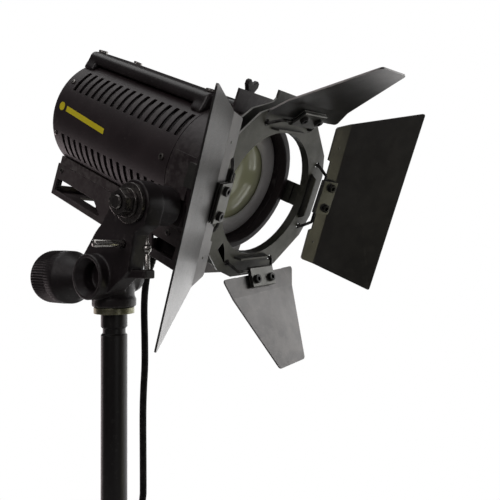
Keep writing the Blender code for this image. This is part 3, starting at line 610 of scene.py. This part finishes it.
def make_knob(finishes):
    """The clamp knob: fine ribs round its rim, a dished end face and a cone neck."""
    steps = 360
    rings = []

    def ring(radius, place, depth):
        points = []
        for i in range(steps):
            angle = 2 * math.pi * i / steps
            wave = 0.5 - 0.5 * math.cos(60 * angle)
            reach = radius - depth * wave
            points.append((place, reach * math.cos(angle), reach * math.sin(angle)))
        rings.append(points)

    for radius, place in ((0.0010, -0.0640), (0.0100, -0.0640), (0.0112, -0.0653), (0.0146, -0.0655)):
        ring(radius, place, 0.0)
    for radius, place in ((0.0158, -0.0651), (0.0165, -0.0644), (0.0170, -0.0636)):
        ring(radius, place, 0.0)
    for radius, place, depth in ((0.0174, -0.0628, 0.0004), (0.0176, -0.0620, 0.0008)):
        ring(radius, place, depth)
    for radius, place, depth in ((0.0176, -0.0492, 0.0008), (0.0176, -0.0486, 0.0004)):
        ring(radius, place, depth)
    for radius, place in ((0.0174, -0.0438), (0.0173, -0.0415), (0.0168, -0.0403), (0.0160, -0.0395)):
        ring(radius, place, 0.0)
    neck = ((0.0138, -0.0350), (0.0116, -0.0308), (0.0104, -0.0288), (0.0095, -0.0272), (0.0092, -0.0258))
    for radius, place in neck + ((0.0092, -0.0174), (0.0087, -0.0168), (0.0046, -0.0168)):
        ring(radius, place, 0.0)
    knob = moved(loft(rings), Matrix.Translation((0.0, 0.0, 0.2360)))
    piece("knob_body", knob, finishes["knob_plastic"], "clamp", ("clamp_knob",), soft=0)


def make_yoke(finishes):
    recast("yoke_body", ["yoke_casting"], finishes["casting_black"], "yoke", 0.00055, 7)
    make_knob(finishes)
    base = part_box("keeper_post")
    centre = (base[0] + base[1]) / 2
    low = base[0].z
    profile = [(0.0001, 0.0), (0.0017, 0.0), (0.0017, 0.0072), (0.0011, 0.0084)]
    profile += [(0.0026 * math.cos(a), 0.0117 + 0.0026 * math.sin(a))
                for a in (math.radians(-60 + 12 * i) for i in range(11))]
    profile += [(0.0011, 0.0150), (0.0011, 0.0174), (0.0007, 0.0179), (0.0001, 0.0180)]
    post = moved(turned(profile, "z", 40), Matrix.Translation((centre.x, centre.y, low)))
    piece("keeper_bead", post, finishes["bright_steel"], "yoke", ("keeper_post",), soft=0)


# ---------------------------------------------------------------- lamp


HOUSING_RADIUS = 0.0413
HOUSING_WALL = 0.0016
VENT_ROWS = ((23.2, 48.2), (131.8, 156.8), (201.7, 225.5), (314.5, 338.3))  # degrees round the shell
LOW_SLOT = (264.2, 275.8)  # the long slot for the focus slider, in degrees round the shell
VENT_STEP = 0.00723


def make_housing(finishes):
    """The slotted housing shell, made as a grid with its slots left open, then thickened."""
    angles = set(range(0, 360, 4))
    for start, end in VENT_ROWS:
        angles = {a for a in angles if not (start - 1.6 < a < end + 1.6)}
        angles |= {round(start + (end - start) * i / 8, 3) for i in range(9)}
    angles = {a for a in angles if not (LOW_SLOT[0] - 1.5 < a < LOW_SLOT[1] + 1.5)}
    angles = sorted(angles | {*LOW_SLOT, 270.0})
    places = [-0.1086, -0.1050, -0.1010]
    slots = []
    for i in range(16):
        middle = -0.0960 + VENT_STEP * i
        slots.append((middle - 0.0015, middle + 0.0015))
        places += [middle - 0.0015, middle + 0.0015]
    places += [-0.0900, -0.0200, 0.0145, 0.0163]
    places = sorted(set(places))
    shape = bmesh.new()
    grid = []
    for place in places:
        row = []
        for angle in angles:
            turn = math.radians(angle)
            y, z = -HOUSING_RADIUS * math.cos(turn), HOUSING_RADIUS * math.sin(turn)
            row.append(shape.verts.new((place, y, z)))
        grid.append(row)
    for i in range(len(places) - 1):
        x = (places[i] + places[i + 1]) / 2
        in_slot = any(low < x < high for low, high in slots)
        for j in range(len(angles)):
            k = (j + 1) % len(angles)
            turn = (angles[j] + (angles[k] if k else 360.0)) / 2
            if in_slot and any(start < turn < end for start, end in VENT_ROWS):
                continue
            if -0.0900 < x < -0.0200 and LOW_SLOT[0] < turn < LOW_SLOT[1]:
                continue
            shape.faces.new((grid[i][j], grid[i + 1][j], grid[i + 1][k], grid[i][k]))
    bmesh.ops.recalc_face_normals(shape, faces=shape.faces)
    if shape.faces[0].normal.dot(shape.faces[0].calc_center_median() * Vector((0, 1, 1))) < 0:
        bmesh.ops.reverse_faces(shape, faces=shape.faces)
    mesh = bpy.data.meshes.new("housing_sleeve")
    moved(shape, LAMP).to_mesh(mesh)
    shape.free()
    made = bpy.data.objects.new("housing_sleeve", mesh)
    bpy.context.scene.collection.objects.link(made)
    thick = made.modifiers.new("wall", "SOLIDIFY")
    thick.thickness = HOUSING_WALL
    thick.offset = -1.0
    settle(made, finishes["housing_black"], "head", ("housing_shell",), 0.00022, 2, 40)


def on_wall(x, n, radius=HOUSING_RADIUS):
    """A point on the housing's near side, n above the lamp's axis, and the outward direction."""
    y = -math.sqrt(radius * radius - n * n)
    return Vector((x, y, n)), Vector((0.0, y, n)).normalized()


def make_screws(finishes):
    """Small socket screws on the housing, the base box and the handle."""
    spots = [(*on_wall(0.0100, 1.5e-3), 0.0021), (*on_wall(-0.1026, 21.4e-3), 0.0017)]
    spots.append((*on_wall(-0.1053, -17e-3), 0.0017))
    for x in (-0.1037, -0.0414, 0.0188):
        spots.append((Vector((x, -0.0260, -0.0440)), Vector((0, -1, 0)), 0.0020))
        spots.append((Vector((x, 0.0260, -0.0440)), Vector((0, 1, 0)), 0.0020))
    for x in (-0.1035, 0.0095):
        spots.append((Vector((x, -0.0165, 0.0469)), Vector((0, -0.08, 1)).normalized(), 0.0033))
        spots.append((Vector((x, 0.0165, 0.0469)), Vector((0, 0.08, 1)).normalized(), 0.0033))
    heads = []
    for index, (point, outward, radius) in enumerate(spots):
        head = screw_head(radius, radius * 0.45, radius * 0.5, radius * 0.4)
        heads.append(moved(head, pointing(outward, point, 17.0 * index)))
    piece("case_screws", moved(merged(heads), LAMP), finishes["dark_steel"], "head", soft=0)


def make_marks():
    """A plain yellow stripe with a dot on the housing, and plain pale dashes on the handle."""
    yellow = finish_of("mark_yellow", (0.93, 0.76, 0.020), (1.00, 0.86, 0.04), 0.50, 0.0, 0.4,
                       grain=1200.0, worn=0.0)
    pale = finish_of("mark_pale", (0.22, 0.21, 0.21), (0.34, 0.33, 0.33), 0.50, 0.0, 0.4,
                     grain=1200.0, worn=0.0)
    radius = 0.04142

    def patch(points):
        """A flat outline of (x, n) points, laid on the housing's near side."""
        outline = [on_wall(x, n, radius)[0] for x, n in points]
        inner = [on_wall(x, n, radius - 0.0002)[0] for x, n in points]
        return loft([inner, outline])

    def bar(x0, x1, n0, n1, half):
        long = [(x0 + (x1 - x0) * i / 16, n0 + (n1 - n0) * i / 16) for i in range(17)]
        return patch([(x, n + half) for x, n in long] + [(x, n - half) for x, n in reversed(long)])

    dot = [(-0.1002 + u, 0.0034 + v) for u, v in arc((0, 0), 0.0030, 0, 345, 23)]
    marks = [patch(dot), bar(-0.0945, -0.0490, 0.0031, -0.0003, 0.0019)]
    mark = piece("yellow_mark", moved(merged(marks), LAMP), yellow, "head", soft=0)
    dashes = []
    for start, end in ((-0.0985, -0.0930), (-0.0905, -0.0740), (-0.0715, -0.0650), (-0.0625, -0.0520)):
        top = [(start, -0.0040), (end, -0.0040), (end, -0.0004), (start, -0.0004)]
        dashes.append(prism([(x, y - 0.0060) for x, y in top], 0.04696, 0.04706, "xy"))
    mark = piece("handle_marks", moved(merged(dashes), LAMP), pale, "head", soft=0)


def make_lens(finishes):
    """A smooth convex lens, and the rounded ring whose lip holds its edge."""
    profile = [(0.0001, 0.0210)]
    profile += [(0.0325 * i / 12, 0.0210 + 0.0009 * (i / 12) ** 2) for i in range(1, 13)]
    profile += [(0.0329, 0.0223), (0.0329, 0.0298)]
    profile += [(0.0316 * math.cos(a), 0.0300 + 0.0085 * math.sin(a))
                for a in (math.radians(4.3 * i) for i in range(21))]
    profile += [(0.0001, 0.0385)]
    lens = moved(turned(profile, "x", 96), LAMP)
    piece("lens_body", lens, finishes["lens_glass"], "head", ("front_lens",), soft=0, angle=40)
    lip = [(0.0395, 0.0290), (0.0395, 0.0338), (0.0388, 0.0352), (0.0370, 0.0362), (0.0340, 0.0368)]
    lip += [(0.0300, 0.0371), (0.0274, 0.0369), (0.0264, 0.0363), (0.0262, 0.0356), (0.0268, 0.0352)]
    lip += [(0.0300, 0.0341), (0.0334, 0.0325), (0.0334, 0.0290)]
    ring = moved(turned(lip, "x", 96, closed=True), LAMP)
    # The ring's light grey finish is a painted sheen.
    piece("lens_ring", ring, finishes["bezel_grey"], "head", ("lens_bezel",), soft=0, angle=40)


def make_handle(finishes):
    """The strap handle, with the soft corners of a moulded part."""
    recast("handle_bar", ["top_handle"], finishes["handle_black"], "head", 0.0007, 22, 0.0008)


def make_bulb(finishes):
    """A small halogen capsule with a pinched base and a coiled filament."""
    profile = [(0.0001, -0.0517), (0.0036, -0.0516), (0.0040, -0.0512), (0.0040, -0.0446)]
    profile += [(0.0048, -0.0432), (0.0060, -0.0412), (0.0062, -0.0395), (0.0062, -0.0290)]
    profile += [(0.0058, -0.0270), (0.0046, -0.0252), (0.0028, -0.0240), (0.0008, -0.0232), (0.0001, -0.0231)]
    bulb = moved(turned(profile, "x", 48), LAMP)
    piece("bulb_body", bulb, finishes["bulb_glass"], "focus_carriage", ("halogen_bulb",), soft=0, angle=60)
    points = []
    for i in range(161):
        turn = 2 * math.pi * i / 16
        across = -0.0028 + 0.0056 * i / 160
        points.append((-0.0330 + 0.0010 * math.cos(turn), across, 0.0010 * math.sin(turn)))
    curve = bpy.data.curves.new("filament", "CURVE")
    curve.dimensions = "3D"
    curve.bevel_depth = 0.00012
    curve.bevel_resolution = 1
    spline = curve.splines.new("POLY")
    spline.points.add(len(points) - 1)
    for spot, point in zip(spline.points, points):
        spot.co = (*(LAMP @ Vector(point)), 1.0)
    made = bpy.data.objects.new("filament", curve)
    bpy.context.scene.collection.objects.link(made)
    settle(made, finishes["dark_steel"], "focus_carriage")


def make_thumb_screw(finishes):
    """The thumb screw, its wings a little narrower than the plain CAD ones."""
    wing = recast("thumb_wing", ["thumb_screw"], finishes["knob_plastic"], "thumb", 0.00028, 6)
    unturn = LAMP.inverted()
    for vert in wing.data.vertices:
        spot = unturn @ vert.co
        above = min(1.0, max(0.0, (spot.z - 0.0530) / 0.002))
        spot.y *= 1.0 - 0.28 * above
        vert.co = LAMP @ spot


# ---------------------------------------------------------------- barndoors


def leaf_place(side):
    angle, opening = (math.radians(value) for value in SIDES[side][:2])
    hinge = Matrix.Rotation(angle, 4, "X") @ Matrix.Translation((*HINGE, 0.0))
    return RING @ hinge @ Matrix.Rotation(opening, 4, "Z")


def rounded(outline, radii):
    """Rounds the corners of a closed outline, each by its own radius."""
    made = []
    count = len(outline)
    for i, (point, radius) in enumerate(zip(outline, radii)):
        here, before, after = Vector(point), Vector(outline[i - 1]), Vector(outline[(i + 1) % count])
        if radius == 0:
            made.append(here)
            continue
        back, ahead = (before - here).normalized(), (after - here).normalized()
        half = back.angle(ahead) / 2
        cut = radius / math.tan(half)
        start, end = here + back * cut, here + ahead * cut
        for k in range(7):
            t = k / 6
            made.append((1 - t) ** 2 * start + 2 * t * (1 - t) * here + t * t * end)
    return made


def leaf_shape(kind):
    """The leaf's sheet: a notched hinge strip and a main sheet, bent on a short round fold."""
    fold_angle = math.radians(LEAVES[kind][0])
    (near, near_half), (fold, fold_half), (end, end_half) = LEAVES[kind][1:]
    notch = max(near, 0.0022)
    side = [(notch, 0.0235), (near, 0.0245), (near, near_half), (fold, fold_half), (end, end_half)]
    corner = (0.0002, 0.0002, 0.0022, 0.0008, 0.0016 if kind == "wide" else 0.0030)
    outline = [Vector((x, z)) for x, z in side] + [Vector((x, -z)) for x, z in reversed(side)]
    outline = rounded(outline, corner + corner[::-1])
    shape = bmesh.new()
    shape.faces.new([shape.verts.new((p.x, 0.0, p.y)) for p in outline])
    width = 0.0012
    for i in range(5):
        place = (fold - width / 2 + width * i / 4, 0.0, 0.0)
        everything = shape.verts[:] + shape.edges[:] + shape.faces[:]
        bmesh.ops.bisect_plane(shape, geom=everything, plane_co=place, plane_no=(1.0, 0.0, 0.0))
    for vert in shape.verts:
        past = vert.co.x - (fold - width / 2)
        if past <= 0:
            vert.co.y = LEAF_LIFT
            continue
        bend = min(past / width, 1.0) * fold_angle
        radius = width / fold_angle
        straight = max(past - width, 0.0)
        vert.co.y = LEAF_LIFT - radius * (1 - math.cos(bend)) - straight * math.sin(bend)
        vert.co.x = fold - width / 2 + radius * math.sin(bend) + straight * math.cos(bend)
    bmesh.ops.recalc_face_normals(shape, faces=shape.faces)
    if sum(face.normal.y * face.calc_area() for face in shape.faces) < 0:
        bmesh.ops.reverse_faces(shape, faces=shape.faces)
    return shape


def bracket_shape():
    """The leaf's clamp: a strip rolled round the wire and folded flat under the screws."""
    wire_gap = 0.0012
    outer = [(0.0108, -0.0006), (0.0108, -0.0015), (0.0104, -0.0019), (0.0010, -0.0019)]
    outer += [(-0.0010, -0.0019)]
    outer += [(max(x, -0.0021), min(y, 0.0008)) for x, y in arc((0, 0), 0.00215, 215, 130, 8)]
    outer += [(-0.0007, 0.0008), (0.0108, 0.0008), (0.0108, 0.00005)]
    inner = [(0.0015, 0.00005)] + arc((0, 0), wire_gap, 20, 330, 14) + [(0.0015, -0.0006)]
    return prism(outer + inner, -0.0112, 0.0112, "xy")


def make_leaf(side, finishes):
    """One leaf with its rivets, and its bracket with two socket screws."""
    crooked, shift, kind = SIDES[side][2:]
    body = "leaf_" + side
    place = leaf_place(side)
    own = place @ Matrix.Translation((0, 0, shift)) @ Matrix.Rotation(math.radians(crooked), 4, "Y")
    shape = moved(leaf_shape(kind), own)
    mesh = bpy.data.meshes.new("sheet_" + side)
    shape.to_mesh(mesh)
    shape.free()
    made = bpy.data.objects.new("sheet_" + side, mesh)
    bpy.context.scene.collection.objects.link(made)
    thick = made.modifiers.new("wall", "SOLIDIFY")
    thick.thickness = LEAF_THICK
    thick.offset = 1.0
    settle(made, finishes["leaf_black"], body, ("leaf_" + side,), 0.00016, 2, 40)
    if kind == "wide":
        rivets = []
        for z in (-0.0330, 0.0330):
            dome = [(0.0001, 0.0), (0.0008, 0.0), (0.0007, 0.00018), (0.0004, 0.00030), (0.0001, 0.00034)]
            spot = own @ Vector((0.0062, LEAF_LIFT, z))
            rivets.append(moved(turned(dome, "z", 24), pointing(own.to_3x3() @ Vector((0, -1, 0)), spot)))
        piece("rivets_" + side, merged(rivets), finishes["bracket_black"], body, soft=0)

    slide = max(-0.0045, min(0.0045, shift))
    clamp = moved(bracket_shape(), place @ Matrix.Translation((0, 0, slide)))
    piece("clamp_" + side, clamp, finishes["bracket_black"], body, ("leaf_bracket_" + side,), soft=0.00015)
    heads = []
    for index, z in enumerate((-0.0070, 0.0070)):
        spot = place @ Vector((0.0060, -0.0016, slide + z))
        head = screw_head(0.0027, 0.0023, 0.0014, 0.0014)
        heads.append(moved(head, pointing(place.to_3x3() @ Vector((0, -1, 0)), spot, 23.0 * index)))
    piece("clamp_screws_" + side, merged(heads), finishes["wire_black"], body, soft=0)


# ---------------------------------------------------------------- the CAD's own pieces


KEPT = {  # node: (finish, how far its edges are rounded)
    "riser_tube": ("pole_black", 0.0003),
    "receiver_washer": ("washer_metal", 0.0003),
    "cross_pin": ("bright_steel", 0.0),
    "clamp_screw": ("bright_steel", 0.0),
    "friction_disc": ("dark_steel", 0.0003),
    "lock_washer": ("dark_steel", 0.0003),
    "tilt_lock_nut": ("dark_steel", 0.0003),
    "tilt_stud": ("dark_steel", 0.0002),
    "rear_cover": ("housing_black", 0.0003),
    "lens_barrel": ("housing_black", 0.0002),
    "front_rim": ("housing_black", 0.0002),
    "heat_shield": ("housing_black", 0.0),
    "guide_plate": ("housing_black", 0.0003),
    "terminal_block": ("knob_plastic", 0.0003),
    # The base box and saddle rail take the lighter copy of the housing paint: painted light.
    "base_box": ("box_worn", 0.0003),
    "saddle_rail": ("box_worn", 0.0002),
    "cord_gland": ("cord_rubber", 0.0003),
    "side_mount": ("housing_black", 0.0005),
    "holder_frame": ("ring_black", 0.0001),
    "top_lug": ("housing_black", 0.0003),
    "focus_slider": ("knob_plastic", 0.0005),
    "lamp_socket": ("socket_ceramic", 0.0003),
    "reflector_bowl": ("mirror_metal", 0.0001),
    "barndoor_ring": ("ring_black", 0.0001),
    "bail_wire_far": ("wire_black", 0.0),
    "bail_wire_top": ("wire_black", 0.0),
    "bail_wire_near": ("wire_black", 0.0),
    "bail_wire_bottom": ("wire_black", 0.0),
}


def keep_nodes(frame, finishes):
    """Gives the CAD's own pieces their finish, smooth shading and softened edges.

    The base box and saddle rail take a lighter copy of the housing paint: painted light, standing in for the
    light that falls on their sides.
    """
    for name, (finish, width) in KEPT.items():
        made = frame["nodes"][name]
        if "custom_normal" in made.data.attributes:
            made.data.attributes.remove(made.data.attributes["custom_normal"])
        made.data.shade_smooth()
        weld = made.modifiers.new("weld", "WELD")
        weld.merge_threshold = 1e-6
        if width:
            soften(made, width)
        else:
            split = made.modifiers.new("split", "EDGE_SPLIT")
            split.split_angle = math.radians(50)
        made.data.materials.clear()
        made.data.materials.append(finishes[finish])


def main():
    for old in list(bpy.data.objects):
        bpy.data.objects.remove(old, do_unlink=True)
    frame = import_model()
    finishes = make_finishes()
    make_camera()
    make_cord(finishes)
    make_stage()
    keep_nodes(frame, finishes)
    make_yoke(finishes)
    make_housing(finishes)
    make_screws(finishes)
    make_marks()
    make_lens(finishes)
    make_bulb(finishes)
    make_handle(finishes)
    make_thumb_screw(finishes)
    for side in SIDES:
        make_leaf(side, finishes)


main()
